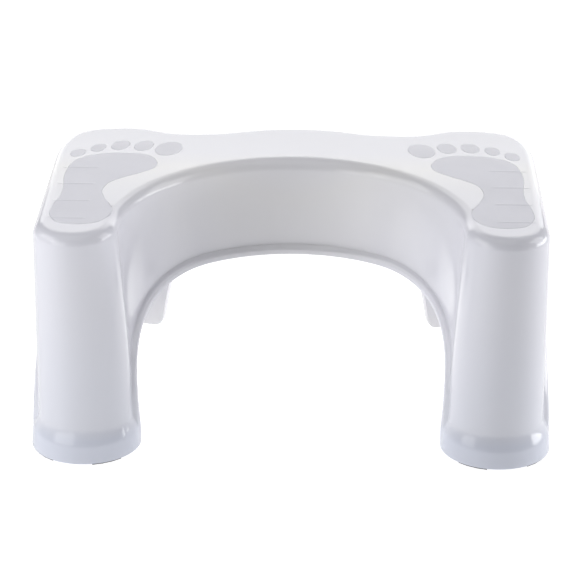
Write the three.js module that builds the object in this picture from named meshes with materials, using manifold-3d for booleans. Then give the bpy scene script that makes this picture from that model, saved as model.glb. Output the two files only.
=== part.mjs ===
// Toilet footstool: a moulded shell on four legs that bends round a recess for the toilet's pedestal,
// with soft-grip footprints let into the deck and rubber strips under the feet.
// Millimetres, +Z up, X across the stool, Y from the open side of the recess to the back.
// Y is measured from the centre of the recess while the pieces are made, and the finished stool is
// then moved so that its origin lies on the floor under its middle.

import * as THREE from 'three';
import { mergeVertices } from 'three/addons/utils/BufferGeometryUtils.js';
import Module from 'manifold-3d';

// Deck and walls, at the top of the wall
const deckHeight = 195;
const deckThickness = 3.2;
const wallThickness = 2.5;
const edgeRadius = 10;
const recessRadius = 135.5;
const deckWidth = 402.4;
const sideSplay = 1.5;
const noseDepth = 32;
const middleDepth = 218.6;
const dipDepth = 203.9;
const dipX = 92;
const bumpDepth = 217.7;
const bumpX = 146;
const cornerStartDepth = 152;
const cornerRise = 50;
const cornerRun = 42;

// How far the walls lean out between the deck and the floor
const recessDraft = 11;
const sideDraft = 3.4;
const noseDraft = 3.3;
const backDraft = 6.3;

// Proud band along the lower edge, which flares further out towards the floor
const bandProud = 3;
const bandWidth = 5.5;
const footBandHeight = 16.5;
const flareDepth = 3.2;
const flareHeight = 75;

// Arches between the legs
const archTop = 113;
const frontArchFlat = 72;
const frontArchRun = 125;
const frontArchRise = 80;
const backArchFlat = 60;
const backArchRun = 64;
const backArchRise = 143;
const sideArchTop = 84;
const sideArchStart = 3;
const sideArchEnd = 150;
const sideArchRise = 84;
const legTipRadius = 6;

// Stiffening ribs under the deck
const ribHeight = 12;
const ribThickness = 2;
const crossRibCount = 6;
const longRibSpacing = 56;
const longRibCount = 7;

// Footprints
const soleLength = 156.5;
const soleWidth = 76;
const soleInnerX = 114;
const heelY = -7;
const printRecess = 1.5;
const printProud = 0.3;
const fitGap = 0.3;
const ridgeHeight = 0.4;
const ridgeWidth = 2;
const ridgePitch = 36.3;
const ridgeStart = 5.5;
const ridgeInnerX = 156;
const ridgeOuterX = 193;
const ridgeCount = 4;

// Rubber strips under the feet
const stripProud = 1;
const stripThickness = 1.9;
const stripInset = 1.2;
const stripLipHeight = 8;
const stripLipThickness = 1.8;

// Overrun of a cut past the face that it opens
const overrun = 20;

// Stretches of the nose and of the rear corner that the strips cover
const innerStripShares = [0.25, 0.45];
const outerStripShares = [0.68, 0.88];
const rearStripShares = [0.12, 0.88];

// Sole outline of the right foot: across from its inner edge, and along from its heel
const soleShares = [
  [0.42, 1], [0.21, 0.99], [0.08, 0.946], [0, 0.85], [0.026, 0.78], [0.158, 0.709],
  [0.342, 0.636], [0.474, 0.562], [0.52, 0.447], [0.467, 0.339], [0.368, 0.211],
  [0.382, 0.109], [0.5, 0.026], [0.697, 0], [0.895, 0.026], [0.993, 0.121],
  [0.993, 0.243], [0.947, 0.383], [0.947, 0.511], [0.974, 0.639], [0.961, 0.773],
  [0.895, 0.888], [0.697, 0.974],
];

// Toes from the big one outwards: centre across and along, then half width and half length
// as shares of the sole's width
const toeShares = [
  [-0.092, 1.067, 0.145, 0.217],
  [0.193, 1.109, 0.103, 0.162],
  [0.454, 1.114, 0.099, 0.151],
  [0.695, 1.073, 0.079, 0.128],
  [0.905, 0.992, 0.079, 0.125],
];
const toeTiltAngle = THREE.MathUtils.degToRad(12);

// Levels of a wall's rings, closer together where the flare bends it
const wallLevelShares = [0, 0.08, 0.18, 0.33, 1];

// How finely curves are divided
const recessSteps = 18;
const noseSteps = 16;
const sideSteps = 4;
const cornerSteps = 8;
const backSteps = 6;
const edgeSteps = 4;
const archSteps = 10;
const archFlatSteps = 4;
const soleSteps = 60;
const toeSteps = 20;

// Sizes that follow
const sideX = deckWidth / 2;
const wallTop = deckHeight - edgeRadius;
const rimZ = stripProud;
const innerEdgeRadius = edgeRadius - wallThickness;
const deckUnderside = deckHeight - deckThickness;
const sideReach = sideX + sideSplay + sideDraft + flareDepth + bandProud + overrun;
const backReach = bumpDepth + backDraft + flareDepth + bandProud + overrun;

// Each strip's first and last step along the wall's line
const stripSpan = (curveStart, steps) => (share) => curveStart + Math.round(share * steps);
const innerStrip = innerStripShares.map(stripSpan(recessSteps, noseSteps));
const outerStrip = outerStripShares.map(stripSpan(recessSteps, noseSteps));
const rearStrip = rearStripShares.map(stripSpan(recessSteps + noseSteps + sideSteps, cornerSteps));

// Materials
const shellPlastic = { color: 0xeeeef4, roughness: 0.22, metalness: 0 };
const gripPlastic = { color: 0xd2d2dc, roughness: 0.5, metalness: 0 };
const footRubber = { color: 0x222224, roughness: 0.85, metalness: 0 };

const wasm = await Module();
wasm.setup();

function toSolid(geometry) {
  const bare = geometry.clone();
  bare.deleteAttribute('normal');
  bare.deleteAttribute('uv');
  const merged = mergeVertices(bare);
  const vertProperties = Float32Array.from(merged.attributes.position.array);
  const triVerts = Uint32Array.from(merged.index.array);
  return new wasm.Manifold(new wasm.Mesh({ numProp: 3, vertProperties, triVerts }));
}

function toGeometry(solid) {
  const mesh = solid.getMesh();
  const geometry = new THREE.BufferGeometry();
  geometry.setAttribute('position', new THREE.BufferAttribute(mesh.vertProperties, 3));
  geometry.setIndex(new THREE.BufferAttribute(mesh.triVerts, 1));
  return geometry;
}

// Closed body through rings of equal length, capped at both ends. toPlane flattens a ring's point
// so that the first ring runs counter-clockwise when seen from the side of the last one.
function loft(rings, toPlane) {
  const count = rings[0].length;
  const positions = rings.flat().flatMap((point) => point.toArray());
  const faces = [];
  for (let ring = 0; ring + 1 < rings.length; ring += 1) {
    for (let step = 0; step < count; step += 1) {
      const next = (step + 1) % count;
      const low = ring * count;
      const high = low + count;
      faces.push([low + step, low + next, high + next]);
      faces.push([low + step, high + next, high + step]);
    }
  }
  const last = (rings.length - 1) * count;
  const lowCap = THREE.ShapeUtils.triangulateShape(rings[0].map(toPlane), []);
  const highCap = THREE.ShapeUtils.triangulateShape(rings.at(-1).map(toPlane), []);
  lowCap.forEach(([a, b, c]) => faces.push([a, c, b]));
  highCap.forEach(([a, b, c]) => faces.push([last + a, last + b, last + c]));
  const geometry = new THREE.BufferGeometry();
  geometry.setAttribute('position', new THREE.Float32BufferAttribute(positions, 3));
  geometry.setIndex(faces.flat());
  return geometry;
}

const fromAbove = (point) => new THREE.Vector2(point.x, point.y);

// The wall's line at a height, as the curves of its right half from the recess to the back
function wallCurves(z, flareShare) {
  const leanShare = Math.max(0, wallTop - z) / wallTop;
  const flare = flareDepth * flareShare * Math.max(0, 1 - z / flareHeight) ** 2;
  const radius = recessRadius - recessDraft * leanShare;
  const side = sideX + sideDraft * leanShare + flare;
  const front = noseDepth + noseDraft * leanShare + flare;
  const back = backDraft * leanShare + flare;
  const dipMiddleX = dipX / 2;
  const bumpMiddleX = (dipX + bumpX) / 2;
  const path = new THREE.Path();
  path.absarc(0, 0, radius, Math.PI / 2, 0, true);
  path.absellipse((radius + side) / 2, 0, (side - radius) / 2, front, Math.PI, 2 * Math.PI, false);
  path.lineTo(side + sideSplay, cornerStartDepth);
  path.bezierCurveTo(
    side + sideSplay, cornerStartDepth + cornerRise,
    bumpX + cornerRun, bumpDepth + back,
    bumpX, bumpDepth + back,
  );
  path.bezierCurveTo(
    bumpMiddleX, bumpDepth + back,
    bumpMiddleX, dipDepth + back,
    dipX, dipDepth + back,
  );
  path.bezierCurveTo(
    dipMiddleX, dipDepth + back,
    dipMiddleX, middleDepth + back,
    0, middleDepth + back,
  );
  return path.curves.filter((curve) => curve.getLength() > fitGap);
}

function mirrored(point) {
  return new THREE.Vector2(-point.x, point.y);
}

// The whole line at a height, counter-clockwise
function wallLine(z, flareShare) {
  const steps = [recessSteps, noseSteps, sideSteps, cornerSteps, backSteps, backSteps];
  const half = [];
  wallCurves(z, flareShare).forEach((curve, index) => {
    half.push(...curve.getPoints(steps[index]).slice(index === 0 ? 0 : 1));
  });
  const otherHalf = half.slice(1, -1).reverse().map(mirrored);
  return half.concat(otherHalf);
}

// A closed line moved sideways along its normals, outwards where the distance is positive
function offsetLine(line, distance) {
  return line.map((point, index) => {
    const before = line.at(index - 1);
    const after = line[(index + 1) % line.length];
    const arriving = point.clone().sub(before).normalize();
    const leaving = after.clone().sub(point).normalize();
    const along = arriving.add(leaving).normalize();
    const stretch = 1 / along.dot(leaving);
    return new THREE.Vector2(along.y, -along.x).multiplyScalar(distance * stretch).add(point);
  });
}

// A ring at a height, moved outwards by a distance, on the wall or with the band's flare
function ringAt(z, distance, flareShare = 0) {
  const line = offsetLine(wallLine(z, flareShare), distance);
  return line.map((point) => new THREE.Vector3(point.x, point.y, z));
}

// Solid inside the wall's line moved by a distance, rounded at its top edge
function wallSolid(lowest, distance, topZ, radius, flareShare = 0) {
  const shoulder = topZ - radius;
  const rings = wallLevelShares.map((share) => (
    ringAt(lowest + share * (shoulder - lowest), distance, flareShare)
  ));
  for (let step = 1; step <= edgeSteps; step += 1) {
    const turn = (step / edgeSteps) * (Math.PI / 2);
    const flat = offsetLine(wallLine(shoulder, 0), distance - radius * (1 - Math.cos(turn)));
    const z = shoulder + radius * Math.sin(turn);
    rings.push(flat.map((point) => new THREE.Vector3(point.x, point.y, z)));
  }
  return toSolid(loft(rings, fromAbove));
}

// Block that bends round the recess and rises to the front arch, grown by a margin
function frontArchSolid(margin) {
  const innerRadius = recessRadius - recessDraft - bandProud - overrun;
  const outerRadius = recessRadius + overrun;
  const springing = archTop - frontArchRise;
  const half = [];
  for (let step = 0; step <= archSteps; step += 1) {
    const turn = (step / archSteps) * (Math.PI / 2);
    const run = frontArchFlat + (frontArchRun + margin) * Math.sin(turn);
    const rise = springing + (frontArchRise + margin) * Math.cos(turn);
    half.push([run, rise]);
  }
  for (let step = archFlatSteps - 1; step >= 0; step -= 1) {
    half.unshift([frontArchFlat * (step / archFlatSteps), archTop + margin]);
  }
  const whole = half.slice(1).reverse().map(([run, rise]) => [-run, rise]).concat(half);
  const legRadius = recessRadius - recessDraft;
  const rings = whole.map(([run, rise]) => {
    const angle = Math.PI / 2 + run / legRadius;
    const across = Math.cos(angle);
    const along = Math.sin(angle);
    return [
      new THREE.Vector3(innerRadius * across, innerRadius * along, -overrun),
      new THREE.Vector3(outerRadius * across, outerRadius * along, -overrun),
      new THREE.Vector3(outerRadius * across, outerRadius * along, rise),
      new THREE.Vector3(innerRadius * across, innerRadius * along, rise),
    ];
  });
  const acrossAndUp = (point) => new THREE.Vector2(Math.hypot(point.x, point.y), point.z);
  return toSolid(loft(rings.reverse(), acrossAndUp));
}

// Straight arch as a flat outline round its middle, with round corners where the legs end
function archShape(middle, flat, top, run, rise, margin, tip) {
  const springing = top - rise;
  const startAngle = Math.asin(Math.max(0, rimZ + tip - springing) / (rise + margin));
  const half = flat + (run + margin) * Math.cos(startAngle);
  const shape = new THREE.Shape();
  shape.moveTo(middle - half - tip, -overrun);
  shape.lineTo(middle + half + tip, -overrun);
  shape.lineTo(middle + half + tip, rimZ);
  if (tip > 0) {
    shape.absarc(middle + half + tip, rimZ + tip, tip, -Math.PI / 2, -Math.PI, true);
  }
  const rightMiddle = middle + flat;
  const leftMiddle = middle - flat;
  const endAngle = Math.PI - startAngle;
  shape.absellipse(rightMiddle, springing, run + margin, rise + margin, startAngle, Math.PI / 2);
  shape.absellipse(leftMiddle, springing, run + margin, rise + margin, Math.PI / 2, endAngle);
  if (tip > 0) {
    shape.absarc(middle - half - tip, rimZ + tip, tip, 0, -Math.PI / 2, true);
  }
  shape.lineTo(middle - half - tip, rimZ);
  return shape;
}

// Block through the back wall, rising to the back arch
function backArchSolid(margin, tip) {
  const shape = archShape(0, backArchFlat, archTop, backArchRun, backArchRise, margin, tip);
  const depth = backReach - recessRadius;
  const block = new THREE.ExtrudeGeometry(shape, { depth, bevelEnabled: false, curveSegments: archSteps });
  block.rotateX(Math.PI / 2);
  block.translate(0, backReach, 0);
  return toSolid(block);
}

// Block through the right or left wall, rising to the side arch
function sideArchSolid(side, margin, tip) {
  const middle = (sideArchStart + sideArchEnd) / 2;
  const run = (sideArchEnd - sideArchStart) / 2;
  const shape = archShape(middle, 0, sideArchTop, run, sideArchRise, margin, tip);
  const depth = sideReach - bumpX;
  const block = new THREE.ExtrudeGeometry(shape, { depth, bevelEnabled: false, curveSegments: archSteps });
  block.rotateX(Math.PI / 2);
  block.rotateZ(Math.PI / 2);
  block.translate(side > 0 ? bumpX : -sideReach, 0, 0);
  return toSolid(block);
}

function allArches(margin, tip) {
  const sides = [1, -1].map((side) => sideArchSolid(side, margin, tip));
  return joined([frontArchSolid(margin), backArchSolid(margin, tip), ...sides]);
}

const joined = (solids) => solids.reduce((whole, solid) => whole.add(solid));

function boxSolid(width, depth, height, x, y, z) {
  const box = new THREE.BoxGeometry(width, depth, height);
  box.translate(x, y, z);
  return toSolid(box);
}

// The lowest stretch of every leg, where the band runs round the feet
function footSlab() {
  return boxSolid(2 * sideReach, 2 * backReach, 2 * footBandHeight, 0, 0, 0);
}

// Ribs under the deck, cut to the hollow of the shell, with the cross ribs under the ridges
function ribSolid() {
  const middleZ = deckUnderside - ribHeight / 2 + wallThickness / 2;
  const tall = ribHeight + wallThickness;
  const longRibMiddle = (longRibCount - 1) / 2;
  const bars = [];
  for (let index = 0; index < longRibCount; index += 1) {
    const x = (index - longRibMiddle) * longRibSpacing;
    bars.push(boxSolid(ribThickness, 2 * backReach, tall, x, 0, middleZ));
  }
  for (let index = 0; index < crossRibCount; index += 1) {
    const y = ridgeStart + index * ridgePitch;
    bars.push(boxSolid(2 * sideReach, ribThickness, tall, 0, y, middleZ));
  }
  const midwall = -wallThickness / 2;
  return joined(bars).intersect(wallSolid(rimZ, midwall, deckHeight + midwall, innerEdgeRadius));
}

function soleShape(gap) {
  const knots = soleShares.map(([across, along]) => new THREE.Vector3(
    soleInnerX + across * soleWidth, heelY + along * soleLength, 0,
  ));
  const curve = new THREE.CatmullRomCurve3(knots.reverse(), true, 'centripetal');
  const line = curve.getPoints(soleSteps).slice(0, -1).map(fromAbove);
  const turned = THREE.ShapeUtils.isClockWise(line) ? line.reverse() : line;
  return new THREE.Shape(offsetLine(turned, -gap));
}

function toeShape([across, along, halfWidth, halfLength], gap) {
  const x = soleInnerX + across * soleWidth;
  const y = heelY + along * soleLength;
  const shape = new THREE.Shape();
  shape.absellipse(
    x, y, halfWidth * soleWidth - gap, halfLength * soleWidth - gap,
    0, 2 * Math.PI, false, toeTiltAngle,
  );
  return shape;
}

// Upright slab of a print's outline between two heights
function printSolid(shape, low, high) {
  const depth = high - low;
  const curveSegments = toeSteps / 2;
  const slab = new THREE.ExtrudeGeometry(shape, { depth, bevelEnabled: false, curveSegments });
  slab.translate(0, 0, low);
  return toSolid(slab);
}

// Low ridges across the right-hand standing area
function ridgeSolid(base) {
  const half = ridgeWidth / 2;
  const shape = new THREE.Shape();
  shape.moveTo(-half, -printRecess / 2);
  shape.lineTo(half, -printRecess / 2);
  shape.lineTo(half, 0);
  shape.lineTo(half / 2, ridgeHeight);
  shape.lineTo(-half / 2, ridgeHeight);
  shape.lineTo(-half, 0);
  const depth = ridgeOuterX - ridgeInnerX;
  const bars = [];
  for (let index = 0; index < ridgeCount; index += 1) {
    const bar = new THREE.ExtrudeGeometry(shape, { depth, bevelEnabled: false });
    bar.rotateX(Math.PI / 2);
    bar.rotateZ(Math.PI / 2);
    bar.translate(ridgeInnerX, ridgeStart + index * ridgePitch, base);
    bars.push(toSolid(bar));
  }
  return joined(bars);
}

function mirroredSolid(solid) {
  return solid.mirror([1, 0, 0]);
}

// Everything that is cut out of the right half of the deck
function printRecesses() {
  const low = deckHeight - printRecess;
  const high = deckHeight + overrun;
  const toes = toeShares.map((shares) => printSolid(toeShape(shares, 0), low, high));
  return joined([printSolid(soleShape(0), low, high), ...toes]);
}

function stoolBody() {
  const bands = allArches(bandWidth, 0).add(footSlab());
  const proud = wallSolid(rimZ, bandProud, deckHeight, edgeRadius, 1).intersect(bands);
  const outside = wallSolid(rimZ, 0, deckHeight, edgeRadius).add(proud);
  const hollow = wallSolid(-overrun, -wallThickness, deckUnderside, innerEdgeRadius);
  const recesses = printRecesses();
  const ridges = ridgeSolid(deckHeight).subtract(recesses);
  const notches = stripNotch(innerStrip).add(stripNotch(outerStrip)).add(stripNotch(rearStrip));
  return outside
    .subtract(hollow)
    .subtract(allArches(0, legTipRadius))
    .add(ribSolid())
    .add(ridges)
    .add(mirroredSolid(ridges))
    .subtract(recesses)
    .subtract(mirroredSolid(recesses))
    .subtract(notches)
    .subtract(mirroredSolid(notches));
}

function solePad() {
  const low = deckHeight - printRecess + fitGap;
  const top = deckHeight + printProud;
  const outline = printSolid(soleShape(fitGap), low, top + overrun);
  const pad = printSolid(soleShape(fitGap), low, top);
  return pad.add(ridgeSolid(top).intersect(outline));
}

function toePad(shares) {
  return printSolid(toeShape(shares, fitGap), deckHeight - printRecess + fitGap, deckHeight + printProud);
}

// Body with a section along a stretch of the wall's line. Each point of the section has a height,
// a distance from the line and the share of the flare that it follows. The section runs
// counter-clockwise with the distance to the right and the height up.
function sweptSolid(section, [startStep, endStep], endGap) {
  const flat = new Map();
  const rows = section.map(([z, distance, flareShare]) => {
    const row = ringAt(Math.max(z, rimZ), distance, flareShare).slice(startStep, endStep + 1);
    const startMove = row[0].clone().sub(row[1]).setLength(endGap);
    const endMove = row.at(-1).clone().sub(row.at(-2)).setLength(endGap);
    row[0].add(startMove);
    row.at(-1).add(endMove);
    row.forEach((place) => {
      place.z = z;
      flat.set(place, new THREE.Vector2(distance, z));
    });
    return row;
  });
  const rings = rows[0].map((_, step) => rows.map((row) => row[step]));
  return toSolid(loft(rings.reverse(), (place) => flat.get(place)));
}

// Rubber strip let into the right-hand rim, with a lip up the inside of the wall
function footStrip(steps) {
  const lipTop = rimZ + stripLipHeight;
  const outer = bandProud - stripInset;
  const lipOuter = -wallThickness - fitGap;
  const lipInner = lipOuter - stripLipThickness;
  const section = [
    [0, outer, 1], [stripThickness, outer, 1], [stripThickness, lipOuter, 0],
    [lipTop, lipOuter, 0], [lipTop, lipInner, 0], [0, lipInner, 0],
  ];
  return sweptSolid(section, steps, 0);
}

// Notch in the rim that a strip sits in
function stripNotch(steps) {
  const outer = bandProud - stripInset + fitGap;
  const inner = -wallThickness - fitGap;
  const top = stripThickness + fitGap;
  const section = [[-overrun, outer, 1], [top, outer, 1], [top, inner, 0], [-overrun, inner, 0]];
  return sweptSolid(section, steps, fitGap);
}

function namedMesh(name, solid, finish) {
  const mesh = new THREE.Mesh(toGeometry(solid), new THREE.MeshStandardMaterial(finish));
  mesh.name = name;
  return mesh;
}

const stool = new THREE.Group();
stool.add(namedMesh('stool_body', stoolBody(), shellPlastic));

function addPair(endName, solid, finish, startName = '') {
  stool.add(namedMesh(`${startName}right_${endName}`, solid, finish));
  stool.add(namedMesh(`${startName}left_${endName}`, mirroredSolid(solid), finish));
}

addPair('sole_pad', solePad(), gripPlastic);
toeShares.forEach((shares, index) => {
  addPair(`toe_pad_${index + 1}`, toePad(shares), gripPlastic);
});
addPair('inner_foot_strip', footStrip(innerStrip), footRubber, 'front_');
addPair('outer_foot_strip', footStrip(outerStrip), footRubber, 'front_');
addPair('foot_strip', footStrip(rearStrip), footRubber, 'rear_');

const middle = new THREE.Box3().setFromObject(stool).getCenter(new THREE.Vector3());
stool.position.y = -middle.y;

export default stool;
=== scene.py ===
"""Toilet footstool in glossy white plastic, with soft-grip footprints and rubber strips under the feet.

Sizes are in millimetres, in the frame of the part before it is centred: Y runs from the centre of
the recess to the back. They become metres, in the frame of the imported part, when a mesh is made.
"""

import math

import bpy
import numpy as np
from mathutils import Matrix, Vector
from mathutils.geometry import delaunay_2d_cdt


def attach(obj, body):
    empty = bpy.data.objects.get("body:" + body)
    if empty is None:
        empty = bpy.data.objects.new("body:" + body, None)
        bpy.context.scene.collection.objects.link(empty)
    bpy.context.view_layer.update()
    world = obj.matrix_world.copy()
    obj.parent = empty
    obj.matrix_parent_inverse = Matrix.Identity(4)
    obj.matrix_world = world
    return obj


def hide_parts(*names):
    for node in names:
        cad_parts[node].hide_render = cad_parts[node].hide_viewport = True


METRES = 0.001

# Deck and walls, at the top of the wall
DECK_HEIGHT = 195
DECK_THICKNESS = 3.2
WALL_THICKNESS = 2.5
EDGE_RADIUS = 10
RECESS_RADIUS = 135.5
SIDE_X = 201.2
SIDE_SPLAY = 1.5
NOSE_DEPTH = 32
MIDDLE_DEPTH = 218.6
DIP_DEPTH = 203.9
DIP_X = 92
BUMP_DEPTH = 217.7
BUMP_X = 146
CORNER_START = 152
CORNER_RISE = 50
CORNER_RUN = 42

# How far the walls lean out between the deck and the floor
RECESS_DRAFT = 11
SIDE_DRAFT = 3.4
NOSE_DRAFT = 3.3
BACK_DRAFT = 6.3

# Proud band round the feet, how far the feet flare out to it, and the rim that it ends in
BAND_PROUD = 3
FOOT_BAND_HEIGHT = 14
BAND_CORNER = 5
FLARE_DEPTH = 3.1
FLARE_HEIGHT = 75
RIM_HEIGHT = 1
RIM_RADIUS = 0.5

# Bead round the arches that runs into the band, and the cove above both. Over the soft height the
# bead's rounded fall, whose power is the roundness, goes over into the band's S-shaped one.
ARCH_PROUD = 4.2
LIP_WIDTH = 3.2
LIP_ROUNDNESS = 1.9
SOFT_FOOT_HEIGHT = 22
COVE_WIDTH = 4.8
FOOT_COVE_HEIGHT = 15
COVE_CORNER = 4

# Arches between the legs, and the rounding of the legs' tips. The share widens it at the back.
ARCH_TOP = 113
FRONT_FLAT = 72
FRONT_RUN = 125
FRONT_RISE = 80
BACK_FLAT = 64
BACK_RUN = 57.5
BACK_RISE = 143
SIDE_TOP = 84
SIDE_START = 3
SIDE_END = 150
SIDE_RISE = 84
TIP_RADIUS = 8
INNER_TIP_RADIUS = 2
BACK_TIP_SHARE = 2.5

# Ribs under the deck, and how far round the fillet they follow it
RIB_HEIGHT = 12
RIB_THICKNESS = 2
RIB_TURN_SHARE = 0.9
CROSS_RIB_COUNT = 6
LONG_RIB_SPACING = 56
LONG_RIB_COUNT = 7

# Footprints
SOLE_LENGTH = 156.5
SOLE_WIDTH = 76
SOLE_INNER_X = 114
HEEL_Y = -7
PRINT_RECESS = 1.5
PRINT_PROUD = 0.12
FIT_GAP = 0.05
PAD_ROUND = 0.25
RECESS_ROUND = 0.2

# Ridges across the standing area
RIDGE_HEIGHT = 0.28
RIDGE_FRONT = 1.8
RIDGE_BACK = 1.8
RIDGE_PITCH = 36.3
RIDGE_START = 5.5
RIDGE_INNER_X = 160
RIDGE_OUTER_X = 193
RIDGE_COUNT = 4
RIDGE_FADE = 3

# Sole outline of the right foot: across from its inner edge, and along from its heel
SOLE_SHARES = [
    (0.42, 1), (0.21, 0.99), (0.08, 0.946), (0, 0.85), (0.026, 0.78), (0.158, 0.709),
    (0.342, 0.636), (0.474, 0.562), (0.52, 0.447), (0.467, 0.339), (0.368, 0.211),
    (0.382, 0.109), (0.5, 0.026), (0.697, 0), (0.895, 0.026), (0.993, 0.121),
    (0.993, 0.243), (0.947, 0.383), (0.947, 0.511), (0.974, 0.639), (0.961, 0.773),
    (0.895, 0.888), (0.697, 0.974),
]

# Toes from the big one outwards: centre across and along, then half width and half length
# as shares of the sole's width
TOE_SHARES = [
    (-0.092, 1.067, 0.145, 0.217),
    (0.193, 1.109, 0.103, 0.162),
    (0.454, 1.114, 0.099, 0.151),
    (0.695, 1.073, 0.079, 0.128),
    (0.905, 0.992, 0.079, 0.125),
]
TOE_TILT = math.radians(12)

# Sizes that follow
WALL_TOP = DECK_HEIGHT - EDGE_RADIUS
DECK_UNDERSIDE = DECK_HEIGHT - DECK_THICKNESS
INNER_RADIUS = EDGE_RADIUS - WALL_THICKNESS
INNER_SHOULDER = DECK_UNDERSIDE - INNER_RADIUS

# Cells of the wall: its six curves with their steps, where its side and its back start, and its rows
CURVE_STEPS = [56, 48, 30, 40, 24, 30]
SIDE_CURVE = 2
BACK_CURVE = 4
ROW_STEP = 5
ROW_CLEARANCE = 2.2
EDGE_STEPS = 8
RIM_ROWS = 3
INNER_RIM_ROWS = 2
LIP_ROWS = 4
COVE_ROWS = 9

# Cells of the lower edge: crown, side and bend of an arch, and a foot
FRONT_ARCH_CELLS = (14, 56, 12)
SIDE_ARCH_CELLS = (34, 12)
BACK_ARCH_CELLS = (12, 40, 12)
FOOT_CELLS = 56

# Cells of the prints, the ridges and the ribs
SOLE_STEPS = 8
TOE_STEPS = 48
POCKET_ROWS = 3
PAD_ROWS = 4
RIDGE_STEP = RIDGE_FADE / 2
RIDGE_FRONT_ROWS = 4
RIDGE_BACK_ROWS = 6
DECK_CLEARANCE = 1
PRINT_CLEARANCE = RIDGE_FRONT / 2
RIB_ROWS = 4

# Fine steps in which lines are measured, and the distance within which points are one
FLOOR_STEPS = 400
ARCH_STEPS = 200
BEND_STEPS = 40
NUDGE = 1e-3
RISE_STEP = 1
SLOPE_STEP = RIDGE_FRONT / 20
SEAM = 0.01

# Looks. Colours are given by the height plus the slant's share of the depth. A noise is its scale and
# its detail, a roughness is its range, and a bump is its strength and its depth in metres.
WHITE = (1, 1, 1)
# The shell's own cool white, with painted light: the change of tint and tone with height and depth stands for
# light and shade. It is bluer and a little darker at the front, low down and at the back of the deck, and
# most neutral around the middle.
SHELL_TINT_AND_PAINTED_LIGHT = [
    (0, (0.79, 0.805, 0.885)),
    (80, (0.805, 0.81, 0.88)),
    (220, (0.81, 0.81, 0.88)),
    (320, (0.81, 0.81, 0.86)),
    (430, (0.825, 0.82, 0.835)),
    (500, (0.8, 0.8, 0.86)),
]
SHELL_SLANT = 2
# Painted shade: below the band's top the feet are made darker and bluer.
FOOT_PAINTED_SHADE = [
    (14, (0.945, 0.965, 1)),
    (24, WHITE),
]
FOOT_SLANT = 0.15
SHELL_CLOUD = (0.985, 0.985, 0.985)
SHELL_CLOUD_NOISE = (9, 3)
SHELL_ROUGHNESS = (0.1, 0.14)
SHELL_ROUGHNESS_NOISE = (60, 4)
SHELL_BUMP = (0.06, 0.0002)
SHELL_BUMP_NOISE = (140, 2)
# The pads' own grey-lilac, with painted shade: darker toward the heels and lighter toward the toes, by height
# and depth.
GRIP_TINT_AND_PAINTED_SHADE = [
    (195, (0.78, 0.78, 0.855)),
    (320, (0.8, 0.8, 0.87)),
    (400, (0.855, 0.855, 0.915)),
]
GRIP_SLANT = 1
GRIP_CLOUD = (0.975, 0.975, 0.975)
GRIP_CLOUD_NOISE = (25, 4)
GRIP_ROUGHNESS = (0.42, 0.55)
GRIP_ROUGHNESS_NOISE = (300, 4)
GRIP_BUMP = (0.12, 0.0002)
GRIP_BUMP_NOISE = (1800, 3)
RUBBER_COLOURS = ((0.012, 0.012, 0.013), (0.02, 0.02, 0.021))
RUBBER_CLOUD_NOISE = (120, 4)
RUBBER_ROUGHNESS = (0.75, 0.9)
RUBBER_ROUGHNESS_NOISE = (400, 3)
RUBBER_BUMP = (0.2, 0.0002)
RUBBER_BUMP_NOISE = (1500, 3)
PLASTIC_IOR = 1.5
NOISE_RANGE = (0.3, 0.7)
CLOUD_RANGE = (0.35, 0.65)

# Stage and camera
FLOOR_SIZE = 40000
FLOOR_GREY = 0.35
FLOOR_GLOW = 0.68
PATCH_GLOW = 1.1
PATCH_Y = 70
PATCH_INNER = 130
PATCH_OUTER = 250
FLOOR_LIFT = 0.18
CAMERA_ANGLES = (24.5, 1.236, 0.126)
CAMERA_PLACE = (29.81, -1578.28, 815.76)
CAMERA_LENS = 129.39
CAMERA_SENSOR = 36
CAMERA_REACH = 100

# Name, azimuth, elevation, distance, width, height and strength of each lamp
LAMPS = [
    ("backdrop_low", 180, 10, 2300, 2400, 1100, 16.2),
    ("backdrop_high", 180, 36, 2350, 2000, 1100, 13),
    ("backdrop_left", -148, 2, 2400, 1200, 400, 0.3),
    ("backdrop_right", 148, 2, 2400, 1200, 400, 0.2),
    ("overhead", 180, 75, 2200, 2400, 2400, 8.6),
    ("overhead_front", 0, 70, 2200, 1500, 1500, 5.9),
    ("right_side", 95, 22, 2200, 1300, 1900, 18.5),
    ("right_low", 100, 6, 2300, 1900, 560, 14),
    ("right_front", 60, 40, 2200, 1000, 900, 1),
    ("left_side", -80, 30, 2300, 1900, 1250, 13.5),
    ("left_close", -80, 20, 1000, 900, 450, 0.9),
    ("left_close_front", -45, 15, 900, 500, 450, 1.5),
]

UP = np.array([0, 0, 1.0])
MIRROR = np.array([-1, 1, 1])
NO_POINTS = np.zeros((0, 2))


# The wall, unrolled: a place on it is a length along the floor line and a height


def bezier(first, second, third, last, share):
    rest = 1 - share
    return (
        rest**3 * first
        + 3 * rest**2 * share * second
        + 3 * rest * share**2 * third
        + share**3 * last
    )


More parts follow.
